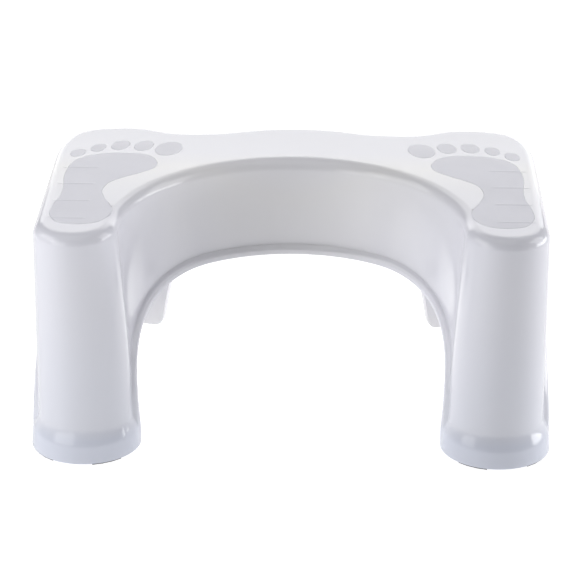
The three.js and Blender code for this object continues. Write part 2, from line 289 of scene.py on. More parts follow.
def wall_line(place, z, flare_share):
    """Plan points of the right half's wall line. place is the number of the curve plus the share of it."""
    lean = np.maximum(0, WALL_TOP - z) / WALL_TOP
    flare = FLARE_DEPTH * flare_share * np.maximum(0, 1 - z / FLARE_HEIGHT) ** 2
    radius = RECESS_RADIUS - RECESS_DRAFT * lean
    side = SIDE_X + SIDE_DRAFT * lean + flare
    front = NOSE_DEPTH + NOSE_DRAFT * lean + flare
    back = BACK_DRAFT * lean + flare
    curve = np.clip(np.floor(place), 0, len(CURVE_STEPS) - 1).astype(int)
    share = place - curve
    turn = (1 - share) * math.pi / 2
    swing = (1 + share) * math.pi
    splayed = side + SIDE_SPLAY
    bump, dip, middle = BUMP_DEPTH + back, DIP_DEPTH + back, MIDDLE_DEPTH + back
    bump_x = (BUMP_X + DIP_X) / 2
    dip_x = DIP_X / 2
    across = [
        radius * np.cos(turn),
        (radius + side) / 2 + (side - radius) / 2 * np.cos(swing),
        side + SIDE_SPLAY * share,
        bezier(splayed, splayed, BUMP_X + CORNER_RUN, BUMP_X, share),
        bezier(BUMP_X, bump_x, bump_x, DIP_X, share),
        bezier(DIP_X, dip_x, dip_x, 0, share),
    ]
    along = [
        radius * np.sin(turn),
        front * np.sin(swing),
        CORNER_START * share,
        bezier(CORNER_START, CORNER_START + CORNER_RISE, bump, bump, share),
        bezier(bump, bump, dip, dip, share),
        bezier(dip, dip, middle, middle, share),
    ]
    shape = np.broadcast(place, z).shape
    across = [np.broadcast_to(part, shape) for part in across]
    along = [np.broadcast_to(part, shape) for part in along]
    curve = np.broadcast_to(curve, shape)
    return np.stack([np.choose(curve, across), np.choose(curve, along)], axis=-1)


def floor_lengths():
    """The places of fine steps along the floor line, their lengths along it, and their x."""
    places = np.linspace(0, len(CURVE_STEPS), len(CURVE_STEPS) * FLOOR_STEPS + 1)
    points = wall_line(places, np.zeros_like(places), 0)
    steps = np.linalg.norm(np.diff(points, axis=0), axis=1)
    return places, np.concatenate([[0], np.cumsum(steps)]), points[:, 0]


FLOOR_PLACES, FLOOR_LENGTHS, FLOOR_X = floor_lengths()
WALL_LENGTH = FLOOR_LENGTHS[-1]


def at_curve(number):
    """Length along the floor line at which a curve starts."""
    return float(np.interp(number, FLOOR_PLACES, FLOOR_LENGTHS))


def at_back_x(x):
    """Length along the floor line at which the back wall has this x."""
    behind = FLOOR_PLACES >= BACK_CURVE
    return np.interp(-np.asarray(x, float), -FLOOR_X[behind], FLOOR_LENGTHS[behind])


def wall_points(lengths, z, distance):
    """Points on the wall moved out by a distance, and the wall's normals there."""
    place = np.interp(lengths, FLOOR_LENGTHS, FLOOR_PLACES)
    flare_share = np.clip(distance / BAND_PROUD, 0, 1)
    last = len(CURVE_STEPS)
    before = wall_line(np.maximum(place - NUDGE, 0), z, flare_share)
    after = wall_line(np.minimum(place + NUDGE, last), z, flare_share)
    along = after - before
    along /= np.linalg.norm(along, axis=-1, keepdims=True)
    out = np.stack([along[..., 1], -along[..., 0]], axis=-1)
    plan = wall_line(place, z, flare_share) + out * np.asarray(distance)[..., None]
    plan[..., 0] = np.where(np.abs(plan[..., 0]) < SEAM, 0, plan[..., 0])
    points = np.concatenate([plan, np.broadcast_to(z, lengths.shape)[..., None]], axis=-1)
    above = wall_line(place, z + RISE_STEP, flare_share)
    below = wall_line(place, z - RISE_STEP, flare_share)
    rise = (above - below) / (2 * RISE_STEP)
    lean = -(rise * out).sum(axis=-1, keepdims=True)
    normals = np.concatenate([out, lean], axis=-1)
    normals /= np.linalg.norm(normals, axis=-1, keepdims=True)
    return points, normals


# The lower edge of the wall, in that unrolled plane


def resampled(line, count):
    """The same line in equal steps."""
    steps = np.linalg.norm(np.diff(line, axis=0), axis=1)
    lengths = np.concatenate([[0], np.cumsum(steps)])
    wanted = np.linspace(0, lengths[-1], count + 1)
    return np.stack([np.interp(wanted, lengths, line[:, axis]) for axis in (0, 1)], axis=-1)


def half_arch(flat, run, rise, top, reach, lift, corner, counts):
    """Half an arch moved out by reach, from its crown to the corner that turns it along the foot."""
    springing = top - rise
    floor = RIM_HEIGHT + lift
    start = floor + corner

    def half_width(z):
        share = max(0, z - springing) / (rise + reach)
        return flat + (run + reach) * math.sqrt(1 - share**2)

    low = math.asin(max(0, start - springing) / (rise + reach))
    turns = np.linspace(math.pi / 2, low, ARCH_STEPS)
    across = flat + (run + reach) * np.cos(turns)
    side = np.stack([across, springing + (rise + reach) * np.sin(turns)], axis=-1)
    if start < springing:
        side = np.vstack([side, [half_width(start), start]])
    crown = np.array([[0, top + reach], [flat, top + reach]], float)
    share = np.linspace(0, 1, BEND_STEPS)
    foot = half_width(floor)
    bend = [
        bezier(half_width(start), foot, foot, foot + corner, share),
        bezier(start, floor, floor, floor, share),
    ]
    parts = [side, np.stack(bend, axis=-1)]
    if flat > 0:
        parts.insert(0, crown)
    return [resampled(part, count) for part, count in zip(parts, counts)]


def lower_edge(reach, lift, corner, inner_corner):
    """The line round the lower edge of the right half, moved out from the arches by reach and up by lift."""
    front = half_arch(
        FRONT_FLAT, FRONT_RUN, FRONT_RISE, ARCH_TOP, reach, lift, inner_corner, FRONT_ARCH_CELLS
    )
    run = (SIDE_END - SIDE_START) / 2
    side = half_arch(0, run, SIDE_RISE, SIDE_TOP, reach, lift, corner, SIDE_ARCH_CELLS)
    back_corner = BACK_TIP_SHARE * corner
    back = half_arch(
        BACK_FLAT, BACK_RUN, BACK_RISE, ARCH_TOP, reach, lift, back_corner, BACK_ARCH_CELLS
    )
    middle = at_curve(SIDE_CURVE) + (SIDE_START + SIDE_END) / 2
    before = [np.stack([middle - part[:, 0], part[:, 1]], axis=-1)[::-1] for part in side[::-1]]
    after = [np.stack([middle + part[:, 0], part[:, 1]], axis=-1) for part in side]
    rear = [np.stack([at_back_x(part[:, 0]), part[:, 1]], axis=-1)[::-1] for part in back[::-1]]
    front_foot = resampled(np.array([front[-1][-1], before[0][0]]), FOOT_CELLS)
    rear_foot = resampled(np.array([after[-1][-1], rear[0][0]]), FOOT_CELLS)
    parts = [*front, front_foot, *before, *after, rear_foot, *rear]
    return np.vstack([parts[0]] + [part[1:] for part in parts[1:]])


# Meshes


class Sheet:
    """Points, their normals where they are known, and the faces between them."""

    def __init__(self):
        self.points, self.normals, self.faces, self.count = [], [], [], 0

    def add(self, points, normals=None):
        """Adds points and returns their numbers."""
        points = np.asarray(points, float).reshape(-1, 3)
        unknown = np.full(points.shape, np.nan)
        self.points.append(points)
        self.normals.append(unknown if normals is None else np.asarray(normals, float).reshape(-1, 3))
        first = self.count
        self.count += len(points)
        return np.arange(first, self.count)

    def strip(self, low, high, closed=False):
        """Faces between two rows of point numbers, seen from the side where the low row runs to the right."""
        pairs = len(low) if closed else len(low) - 1
        for step in range(pairs):
            turn = (step + 1) % len(low)
            self.faces.append([int(low[step]), int(low[turn]), int(high[turn]), int(high[step])])

    def rows(self, rows, closed=False):
        for low, high in zip(rows, rows[1:]):
            self.strip(low, high, closed)

    def mirror(self):
        """Adds the mirror image in x."""
        points = np.vstack(self.points)
        normals = np.vstack(self.normals)
        first = self.count
        faces = [[first + corner for corner in reversed(face)] for face in self.faces]
        self.add(points * MIRROR, normals * MIRROR)
        self.faces.extend(faces)

    def mesh(self, name):
        """The sheet as a mesh with equal points joined, in metres, with the known normals kept."""
        points = np.vstack(self.points)
        normals = np.vstack(self.normals)
        keys = np.round(points / SEAM).astype(int)
        _, kept, renamed = np.unique(keys, axis=0, return_index=True, return_inverse=True)
        renamed = renamed.reshape(-1)
        faces = []
        for face in self.faces:
            corners = [int(renamed[corner]) for corner in face]
            corners = [corner for spot, corner in enumerate(corners) if corner != corners[spot - 1]]
            if len(set(corners)) > 2:
                faces.append(corners)
        placed = (points[kept] - [0, MIDDLE_Y, 0]) * METRES
        mesh = bpy.data.meshes.new(name)
        mesh.from_pydata([tuple(point) for point in placed], [], faces)
        mesh.validate()
        mesh.shade_smooth()
        known = normals[kept]
        own = np.array([tuple(vertex.vector) for vertex in mesh.vertex_normals])
        chosen = np.where(np.isnan(known), own, known)
        mesh.normals_split_custom_set_from_vertices([tuple(normal) for normal in chosen])
        return mesh


def inside(points, loop):
    """Which points of the plane lie inside a closed loop."""
    x, y = points[:, 0][:, None], points[:, 1][:, None]
    ax, ay = loop[:, 0][None], loop[:, 1][None]
    bx, by = np.roll(loop, -1, axis=0).T
    crosses = (ay > y) != (by[None] > y)
    with np.errstate(divide="ignore", invalid="ignore"):
        at = ax + (y - ay) / (by[None] - ay) * (bx[None] - ax)
    return (crosses & (x < at)).sum(axis=1) % 2 == 1


def clearance(points, loop):
    """Distance of each point to a loop's nearest corner."""
    gaps = np.linalg.norm(points[:, None] - loop[None], axis=2)
    return gaps.min(axis=1)


def filled(outline, holes, extra):
    """Triangles that fill an outline but not its holes, through the extra points. Their corners number the
    outline first, then each hole, then the extra points."""
    loops = [outline, *holes]
    points = np.vstack([*loops, extra]) if len(extra) else np.vstack(loops)
    edges = []
    first = 0
    for loop in loops:
        count = len(loop)
        edges += [(first + step, first + (step + 1) % count) for step in range(count)]
        first += count
    vertices, _, triangles, sources, _, _ = delaunay_2d_cdt(
        [Vector(point) for point in points], edges, [], 0, SEAM * SEAM
    )
    source = np.array([olds[0] if olds else -1 for olds in sources])
    places = np.array([tuple(vertex) for vertex in vertices])
    triangles = np.array(triangles)
    middles = places[triangles].mean(axis=1)
    keep = inside(middles, outline)
    for hole in holes:
        keep &= ~inside(middles, hole)
    keep &= (source[triangles] >= 0).all(axis=1)
    triangles = triangles[keep]
    sides = places[triangles[:, 1:]] - places[triangles[:, :1]]
    turned = sides[:, 0, 0] * sides[:, 1, 1] - sides[:, 0, 1] * sides[:, 1, 0] < 0
    triangles[turned] = triangles[turned][:, ::-1]
    return source[triangles]


def closed_offset(line, distance):
    """A closed line that runs counter-clockwise, moved out along its normals."""
    along = np.roll(line, -1, axis=0) - np.roll(line, 1, axis=0)
    along /= np.linalg.norm(along, axis=1, keepdims=True)
    return line + distance * np.stack([along[:, 1], -along[:, 0]], axis=-1)


def level(line, z):
    return np.column_stack([line, np.full(len(line), float(z))])


def sole_line():
    """Outline of the right sole, counter-clockwise."""
    knots = np.array(SOLE_SHARES) * [SOLE_WIDTH, SOLE_LENGTH] + [SOLE_INNER_X, HEEL_Y]
    spans = np.linalg.norm(np.roll(knots, -1, axis=0) - knots, axis=1) ** 0.5
    shares = np.linspace(0, 1, SOLE_STEPS + 1)[:-1, None]
    line = []
    for index in range(len(knots)):
        a, b, c, d = (knots[(index + move) % len(knots)] for move in (-1, 0, 1, 2))
        before, here, after = (spans[(index + move) % len(knots)] for move in (-1, 0, 1))
        leave = (b - a) / before - (c - a) / (before + here) + (c - b) / here
        arrive = (c - b) / here - (d - b) / (here + after) + (d - c) / after
        leave, arrive = leave * here, arrive * here
        line.append(
            b
            + leave * shares
            + (-3 * b + 3 * c - 2 * leave - arrive) * shares**2
            + (2 * b - 2 * c + leave + arrive) * shares**3
        )
    return counter_clockwise(np.vstack(line))


def toe_line(shares):
    across, along, half_width, half_length = shares
    turns = np.linspace(0, 2 * math.pi, TOE_STEPS + 1)[:-1]
    x = half_width * SOLE_WIDTH * np.cos(turns)
    y = half_length * SOLE_WIDTH * np.sin(turns)
    turned_x = x * math.cos(TOE_TILT) - y * math.sin(TOE_TILT)
    turned_y = x * math.sin(TOE_TILT) + y * math.cos(TOE_TILT)
    centre = [SOLE_INNER_X + across * SOLE_WIDTH, HEEL_Y + along * SOLE_LENGTH]
    return np.column_stack([turned_x, turned_y]) + centre


def counter_clockwise(line):
    after = np.roll(line, -1, axis=0)
    area = (line[:, 0] * after[:, 1] - line[:, 1] * after[:, 0]).sum()
    return line if area > 0 else line[::-1]


def smooth(value):
    share = np.clip(value, 0, 1)
    return share * share * (3 - 2 * share)


def ridge_rise(points):
    """How far the ridges across the standing area lift points of the plane."""
    x, y = points[:, 0], points[:, 1]
    ends = smooth((x - RIDGE_INNER_X) / RIDGE_FADE) * smooth((RIDGE_OUTER_X - x) / RIDGE_FADE)
    rise = np.zeros(len(points))
    for index in range(RIDGE_COUNT):
        gap = y - RIDGE_START - index * RIDGE_PITCH
        share = np.where(gap < 0, -gap / RIDGE_FRONT, gap / RIDGE_BACK)
        rise = np.maximum(rise, 1 - smooth(share))
    return RIDGE_HEIGHT * rise * ends


def ridge_normals(points):
    """Normals of a flat face that carries the ridges."""
    slopes = [
        (ridge_rise(points + way) - ridge_rise(points - way)) / (2 * SLOPE_STEP)
        for way in (np.array([SLOPE_STEP, 0]), np.array([0, SLOPE_STEP]))
    ]
    normals = np.column_stack([-slopes[0], -slopes[1], np.ones(len(points))])
    return normals / np.linalg.norm(normals, axis=1, keepdims=True)


def ridge_grid():
    """Points along the ridges, in fine steps across each."""
    xs = np.arange(RIDGE_INNER_X, RIDGE_OUTER_X + RIDGE_STEP / 2, RIDGE_STEP)
    before = np.linspace(-RIDGE_FRONT, 0, RIDGE_FRONT_ROWS + 1)[:-1]
    gaps = np.concatenate([before, np.linspace(0, RIDGE_BACK, RIDGE_BACK_ROWS + 1)])
    ys = np.concatenate([RIDGE_START + index * RIDGE_PITCH + gaps for index in range(RIDGE_COUNT)])
    grid = np.stack(np.meshgrid(xs, ys), axis=-1)
    return grid.reshape(-1, 2)


# The shell


def wall_columns():
    """Lengths along the floor line of the mesh's columns."""
    places = [np.linspace(0, 1, steps + 1)[:-1] + number for number, steps in enumerate(CURVE_STEPS)]
    places = np.concatenate([*places, [len(CURVE_STEPS)]])
    return np.interp(places, FLOOR_PLACES, FLOOR_LENGTHS)


def between(first, last, share):
    return first + (last - first) * share


def edge_rows():
    """Rows from the rim's underside up the lip and the cove: the line of each and its distance."""
    rim = lower_edge(0, 0, TIP_RADIUS, INNER_TIP_RADIUS)
    edge = lower_edge(RIM_RADIUS, RIM_RADIUS, TIP_RADIUS, INNER_TIP_RADIUS)
    lift = FOOT_BAND_HEIGHT - RIM_HEIGHT
    lip = lower_edge(LIP_WIDTH, lift, BAND_CORNER, BAND_CORNER)
    cove = lower_edge(LIP_WIDTH + COVE_WIDTH, lift + FOOT_COVE_HEIGHT, COVE_CORNER, COVE_CORNER)
    foot_share = 1 - smooth((lip[:, 1] - FOOT_BAND_HEIGHT) / SOFT_FOOT_HEIGHT)
    swell = between(ARCH_PROUD / BAND_PROUD, 1, foot_share)
    rows = []
    for turn in np.linspace(0, math.pi / 2, RIM_ROWS + 1):
        line = between(rim, edge, 1 - math.cos(turn))
        rows.append((line, BAND_PROUD * swell - RIM_RADIUS * (1 - math.sin(turn))))
    for step in range(1, LIP_ROWS + 1):
        rows.append((between(edge, lip, step / LIP_ROWS), BAND_PROUD * swell))
    for step in range(1, COVE_ROWS + 1):
        share = step / COVE_ROWS
        distance = between(1 - share**LIP_ROUNDNESS, 1 - smooth(share), foot_share)
        rows.append((between(lip, cove, share), BAND_PROUD * swell * distance))
    return rows


def wall_fill(low, columns):
    """The wall above a lower line, in the unrolled plane: its points and the triangles between them.
    They number the lower line first, then the row along the top, then those between."""
    top = np.column_stack([columns, np.full(len(columns), float(WALL_TOP))])
    crown = low[0, 1]
    count = int((WALL_TOP - crown) // ROW_STEP)
    heights = np.linspace(crown, WALL_TOP, count + 1)[1:-1]
    below = np.arange(crown, RIM_HEIGHT, -ROW_STEP)
    grid_heights = np.concatenate([below[::-1], heights])
    start = np.column_stack([np.zeros(len(heights)), heights])
    end = np.column_stack([np.full(len(heights), WALL_LENGTH), heights])
    outline = np.vstack([low, end, top[::-1], start[::-1]])
    grid = np.stack(np.meshgrid(columns[1:-1], grid_heights), axis=-1).reshape(-1, 2)
    grid = grid[inside(grid, outline)]
    grid = grid[clearance(grid, low) > ROW_CLEARANCE]
    triangles = filled(outline, [], grid)
    return np.vstack([outline, grid]), triangles, len(low), len(heights)


def shell_wall(sheet, rows, distance, shoulder, flipped):
    """The wall and its fillet on one side of the shell. Returns the lowest row and the deck's outline."""
    columns = wall_columns()
    plane, triangles, low_count, height_count = wall_fill(rows[-1][0], columns)
    heights = np.minimum(plane[:, 1], shoulder)
    points, normals = wall_points(plane[:, 0], heights, np.full(len(plane), float(distance)))
    side = -1 if flipped else 1
    numbers = sheet.add(points, normals * side)
    for triangle in triangles:
        face = [int(numbers[corner]) for corner in triangle]
        sheet.faces.append(face[::-1] if flipped else face)
    first = low_count + height_count
    top = numbers[first:first + len(columns)][::-1]
    return numbers[:low_count], top, columns


def fillet(sheet, top, columns, distance, shoulder, radius, flipped):
    """Rows that round the wall over into the deck. Returns the last row and its line in plan."""
    rows = [top]
    for step in range(1, EDGE_STEPS + 1):
        turn = step / EDGE_STEPS * math.pi / 2
        heights = np.full(len(columns), float(shoulder))
        moved = np.full(len(columns), distance - radius * (1 - math.cos(turn)))
        points, normals = wall_points(columns, heights, moved)
        points[:, 2] = shoulder + radius * math.sin(turn)
        normals[:, 2] = 0
        normals /= np.linalg.norm(normals, axis=1, keepdims=True)
        normals = normals * math.cos(turn) + UP * math.sin(turn)
        rows.append(sheet.add(points, -normals if flipped else normals))
    for low, high in zip(rows, rows[1:]):
        sheet.strip(*((high, low) if flipped else (low, high)))
    return rows[-1], points[:, :2]


def edge_band(sheet, rows):
    """The rim's underside, the lip and the cove. Returns the rows of point numbers."""
    numbers = []
    for line, distance in rows:
        distances = np.broadcast_to(distance, len(line)).astype(float)
        points, _ = wall_points(line[:, 0], line[:, 1], distances)
        numbers.append(sheet.add(points))
    return numbers


def print_pocket(sheet, line):
    """A print's recess in the deck. Returns the row where its rounded edge meets the deck, and its line."""
    rows = []
    for step in range(POCKET_ROWS + 1):
        turn = step / POCKET_ROWS * math.pi / 2
        out = closed_offset(line, RECESS_ROUND * (1 - math.sin(turn)))
        z = DECK_HEIGHT - RECESS_ROUND * (1 - math.cos(turn))
        normals = None
        if step == 0:
            normals = np.tile(UP, (len(line), 1))
        rows.append(sheet.add(level(out, z), normals))
    floor = DECK_HEIGHT - PRINT_RECESS
    foot = sheet.add(level(line, floor + SEAM))
    base = sheet.add(level(line, floor), np.tile(UP, (len(line), 1)))
    rows += [foot, base]
    for high, low in zip(rows, rows[1:]):
        sheet.strip(low[::-1], high[::-1], closed=True)
    for triangle in filled(line, [], NO_POINTS):
        sheet.faces.append([int(base[corner]) for corner in triangle])
    return rows[0], closed_offset(line, RECESS_ROUND)


def deck_top(sheet, edge_numbers, edge_line, prints):
    """The flat deck round the prints, with the ridges that run on past them."""
    loops = [print_pocket(sheet, line) for line in prints]
    holes = [loop for _, loop in loops]
    grid = ridge_grid()
    keep = inside(grid, edge_line) & (clearance(grid, edge_line) > DECK_CLEARANCE)
    for hole in holes:
        keep &= ~inside(grid, hole) & (clearance(grid, hole) > PRINT_CLEARANCE)
    grid = grid[keep]
    heights = DECK_HEIGHT + ridge_rise(grid)
    extra = sheet.add(np.column_stack([grid, heights]), ridge_normals(grid))
    numbers = np.concatenate([edge_numbers, *[found for found, _ in loops], extra])
    for triangle in filled(edge_line, holes, grid):
        sheet.faces.append([int(numbers[corner]) for corner in triangle])


def underside(sheet, edge_numbers, edge_line):
    """The flat face under the deck."""
    for triangle in filled(edge_line, [], NO_POINTS):
        sheet.faces.append([int(edge_numbers[corner]) for corner in triangle[::-1]])


def spans(line, at, axis):
    """Where a straight cut across a closed loop enters and leaves it."""
    after = np.roll(line, -1, axis=0)
    low, high = line[:, axis] - at, after[:, axis] - at
    crosses = (low > 0) != (high > 0)
    share = low[crosses] / (low[crosses] - high[crosses])
    other = 1 - axis
    hits = line[crosses, other] + share * (after[crosses, other] - line[crosses, other])
    return np.sort(hits).reshape(-1, 2)


def rib_levels():
    """Heights of a rib's end points, and the whole outline that it stops at there."""
    lengths = wall_columns()
    levels = []
    radius = EDGE_RADIUS - WALL_THICKNESS / 2
    shoulder = DECK_UNDERSIDE + WALL_THICKNESS / 2 - radius
    for height in (DECK_UNDERSIDE - RIB_HEIGHT, shoulder):
        levels.append((height, -WALL_THICKNESS / 2))
    for step in range(1, RIB_ROWS + 1):
        turn = step / RIB_ROWS * math.pi / 2 * RIB_TURN_SHARE
        inset = radius * (1 - math.cos(turn))
        levels.append((shoulder + radius * math.sin(turn), -WALL_THICKNESS / 2 - inset))
    outlines = []
    for height, distance in levels:
        ones = np.ones(len(lengths))
        half, _ = wall_points(lengths, ones * min(height, WALL_TOP), ones * distance)
        other = half[1:-1][::-1] * MIRROR
        outlines.append((height, np.vstack([half, other])[:, :2]))
    return outlines


def rib_loop(face_at, axis, ends):
    """The outline of one flat face of a rib, up its first end and down its last."""
    run = [(hit[0], height) for height, hit in ends]
    run += [(hit[1], height) for height, hit in ends[::-1]]
    if axis == 0:
        return [[face_at, along, height] for along, height in run]
    return [[along, face_at, height] for along, height in run]


def add_rib(sheet, outlines, at, axis):
    """A rib at an x or a y, as one closed slab for each stretch inside the shell."""
    places = (at - RIB_THICKNESS / 2, at + RIB_THICKNESS / 2)
    faces = [[(height, spans(outline, place, axis)) for height, outline in outlines] for place in places]
    _, hits = faces[0][0]
    for stretch in range(len(hits)):
        loops = []
        for place, face in zip(places, faces):
            ends = [(height, hits[stretch]) for height, hits in face]
            loops.append(sheet.add(rib_loop(place, axis, ends)))
        near, far = loops
        first = [int(number) for number in near]
        last = [int(number) for number in far]
        if axis == 0:
            sheet.strip(near, far, closed=True)
            sheet.faces.append(first)
            sheet.faces.append(last[::-1])
        else:
            sheet.strip(far, near, closed=True)
            sheet.faces.append(first[::-1])
            sheet.faces.append(last)


def rib_sheet():
    """All ribs, those along the depth first."""
    sheet = Sheet()
    outlines = rib_levels()
    for index in range(LONG_RIB_COUNT):
        add_rib(sheet, outlines, (index - (LONG_RIB_COUNT - 1) / 2) * LONG_RIB_SPACING, 0)
    for index in range(CROSS_RIB_COUNT):
        add_rib(sheet, outlines, RIDGE_START + index * RIDGE_PITCH, 1)
    return sheet


def shell_sheet(prints):
    """The shell without its ribs: band, wall and deck, then their inside, then the mirror image."""
    sheet = Sheet()
    rows = edge_rows()
    band = edge_band(sheet, rows[:-1])
    low, top, columns = shell_wall(sheet, rows, 0, WALL_TOP, False)
    band.append(low)
    sheet.rows(band)
    edge_numbers, edge_line = fillet(sheet, top, columns, 0, WALL_TOP, EDGE_RADIUS, False)
    deck_top(sheet, edge_numbers, edge_line, prints)
    inner_rows = []
    rim, _ = rows[0]
    edge = lower_edge(RIM_RADIUS, RIM_RADIUS, TIP_RADIUS, INNER_TIP_RADIUS)
    for turn in np.linspace(0, math.pi / 2, INNER_RIM_ROWS + 1):
        line = between(rim, edge, 1 - math.cos(turn))
        inner_rows.append((line, RIM_RADIUS * (1 - math.sin(turn)) - WALL_THICKNESS))
    inner = edge_band(sheet, inner_rows[:-1])
    inner_low, inner_top, _ = shell_wall(sheet, inner_rows, -WALL_THICKNESS, INNER_SHOULDER, True)
    inner.append(inner_low)
    sheet.rows(inner[::-1] + [band[0]])
    under_numbers, under_line = fillet(
        sheet, inner_top, columns, -WALL_THICKNESS, INNER_SHOULDER, INNER_RADIUS, True
    )
    underside(sheet, under_numbers, under_line)
    sheet.mirror()
    return sheet


def middle_depth():
    """Y of the whole part's middle, at the band round the feet."""
    line = lower_edge(0, 0, TIP_RADIUS, INNER_TIP_RADIUS)
    points, _ = wall_points(line[:, 0], line[:, 1], np.full(len(line), float(BAND_PROUD)))
    return (points[:, 1].min() + points[:, 1].max()) / 2


MIDDLE_Y = middle_depth()


# The pads of the footprints


def pad_sheet(line):
    """One pad: rounded at its top edge and closed underneath."""
    sheet = Sheet()
    low = DECK_HEIGHT - PRINT_RECESS + FIT_GAP
    top = DECK_HEIGHT + PRINT_PROUD
    body = closed_offset(line, -FIT_GAP)
    rows = [sheet.add(level(body, low))]
    for step in range(PAD_ROWS + 1):
        turn = step / PAD_ROWS * math.pi / 2
        out = closed_offset(body, -PAD_ROUND * (1 - math.cos(turn)))
        z = top - PAD_ROUND * (1 - math.sin(turn)) + ridge_rise(out) * math.sin(turn)
        normals = ridge_normals(out) if step == PAD_ROWS else None
        rows.append(sheet.add(np.column_stack([out, z]), normals))
    sheet.rows(rows, closed=True)
    grid = ridge_grid()
    grid = grid[inside(grid, out) & (clearance(grid, out) > PRINT_CLEARANCE)]
    extra = sheet.add(np.column_stack([grid, top + ridge_rise(grid)]), ridge_normals(grid))
    numbers = np.concatenate([rows[-1], extra])
    for triangle in filled(out, [], grid):
        sheet.faces.append([int(numbers[corner]) for corner in triangle])
    for triangle in filled(body, [], NO_POINTS):
        sheet.faces.append([int(rows[0][corner]) for corner in triangle[::-1]])
    return sheet


def other_side(sheet):
    """The mirror image of a sheet on its own."""
    mirrored = Sheet()
    mirrored.add(np.vstack(sheet.points) * MIRROR, np.vstack(sheet.normals) * MIRROR)
    mirrored.faces = [face[::-1] for face in sheet.faces]
    return mirrored


# Materials


def new_material(name):
    material = bpy.data.materials.new(name)
    material.use_nodes = True
    nodes = material.node_tree.nodes
    return material, nodes, material.node_tree.links, nodes["Principled BSDF"]


def noise(nodes, links, scale, detail):
    """A noise fixed to the object."""
    where = nodes.new("ShaderNodeTexCoord")
    texture = nodes.new("ShaderNodeTexNoise")
    texture.inputs["Scale"].default_value = scale
    texture.inputs["Detail"].default_value = detail
    links.new(where.outputs["Object"], texture.inputs["Vector"])
    return texture


def spread(nodes, links, texture, low, high):
    """A noise's value spread between two numbers."""
    spread_node = nodes.new("ShaderNodeMapRange")
    spread_node.inputs["From Min"].default_value = NOISE_RANGE[0]
    spread_node.inputs["From Max"].default_value = NOISE_RANGE[1]
    spread_node.inputs["To Min"].default_value = low
    spread_node.inputs["To Max"].default_value = high
    links.new(texture.outputs["Fac"], spread_node.inputs["Value"])
    return spread_node


def tinted(nodes, links, texture, first, last):
    """A colour that a noise moves between two."""
    ramp = nodes.new("ShaderNodeValToRGB")
    ramp.color_ramp.elements[0].position = CLOUD_RANGE[0]
    ramp.color_ramp.elements[1].position = CLOUD_RANGE[1]
    ramp.color_ramp.elements[0].color = (*first, 1)
    ramp.color_ramp.elements[1].color = (*last, 1)
    links.new(texture.outputs["Fac"], ramp.inputs["Fac"])
    return ramp


def bumped(nodes, links, shader, texture, strength, distance):
    bump = nodes.new("ShaderNodeBump")
    bump.inputs["Strength"].default_value = strength
    bump.inputs["Distance"].default_value = distance
    links.new(texture.outputs["Fac"], bump.inputs["Height"])
    links.new(bump.outputs["Normal"], shader.inputs["Normal"])


def by_place(nodes, links, slant, colours):
    """A colour that changes with the height plus the slant's share of the depth, from the recess's centre."""
    reach = colours[-1][0]
    where = nodes.new("ShaderNodeTexCoord")
    place = nodes.new("ShaderNodeVectorMath")
    place.operation = "DOT_PRODUCT"
    place.inputs[1].default_value = (0, slant, 1)
    links.new(where.outputs["Object"], place.inputs[0])
    share = nodes.new("ShaderNodeMapRange")
    share.inputs["From Min"].default_value = -slant * MIDDLE_Y * METRES
    share.inputs["From Max"].default_value = (reach - slant * MIDDLE_Y) * METRES
    links.new(place.outputs["Value"], share.inputs["Value"])
    ramp = nodes.new("ShaderNodeValToRGB")
    stops = ramp.color_ramp.elements
    for index, (height, colour) in enumerate(colours):
        stop = stops[index] if index < len(stops) else stops.new(height / reach)
        stop.position = height / reach
        stop.color = (*colour, 1)
    links.new(share.outputs["Result"], ramp.inputs["Fac"])
    return ramp


def multiplied(nodes, links, first, second):
    """The product of two colours."""
    product = nodes.new("ShaderNodeVectorMath")
    product.operation = "MULTIPLY"
    links.new(first, product.inputs[0])
    links.new(second, product.inputs[1])
    return product


def clouded(nodes, links, colour, cloud_noise, cloud_colour):
    """A colour with faint clouds in it."""
    cloud = tinted(nodes, links, noise(nodes, links, *cloud_noise), cloud_colour, WHITE)
    return multiplied(nodes, links, colour.outputs["Color"], cloud.outputs["Color"])


def finished(nodes, links, shader, roughness, roughness_noise, bump, bump_noise):
    """Gives a shader an uneven polish and a fine grain."""
    polish = spread(nodes, links, noise(nodes, links, *roughness_noise), *roughness)
    links.new(polish.outputs["Result"], shader.inputs["Roughness"])
    bumped(nodes, links, shader, noise(nodes, links, *bump_noise), *bump)


def shell_material():
    """Glossy cool white moulded plastic, with painted light and shade in its colour: bluer and darker low
    down, at the front and at the feet, most neutral over the deck.
    """
    material, nodes, links, shader = new_material("shell_plastic")
    # Painted light: the colour's change with height and depth stands for light and shade.
    place = by_place(nodes, links, SHELL_SLANT, SHELL_TINT_AND_PAINTED_LIGHT)
    cloudy = clouded(nodes, links, place, SHELL_CLOUD_NOISE, SHELL_CLOUD)
    # Painted shade: darker and bluer at the feet.
    foot = by_place(nodes, links, FOOT_SLANT, FOOT_PAINTED_SHADE)
    colour = multiplied(nodes, links, cloudy.outputs["Vector"], foot.outputs["Color"])
    links.new(colour.outputs["Vector"], shader.inputs["Base Color"])
    shader.inputs["IOR"].default_value = PLASTIC_IOR
    finished(
        nodes, links, shader, SHELL_ROUGHNESS, SHELL_ROUGHNESS_NOISE, SHELL_BUMP, SHELL_BUMP_NOISE
    )
    return material


def grip_material():
    """Satin soft-grip plastic with a fine grain."""
    material, nodes, links, shader = new_material("grip_inlay")
    # Painted shade: the pads darken toward the heels.
    place = by_place(nodes, links, GRIP_SLANT, GRIP_TINT_AND_PAINTED_SHADE)
    colour = clouded(nodes, links, place, GRIP_CLOUD_NOISE, GRIP_CLOUD)
    links.new(colour.outputs["Vector"], shader.inputs["Base Color"])
    shader.inputs["IOR"].default_value = PLASTIC_IOR
    finished(nodes, links, shader, GRIP_ROUGHNESS, GRIP_ROUGHNESS_NOISE, GRIP_BUMP, GRIP_BUMP_NOISE)
    return material


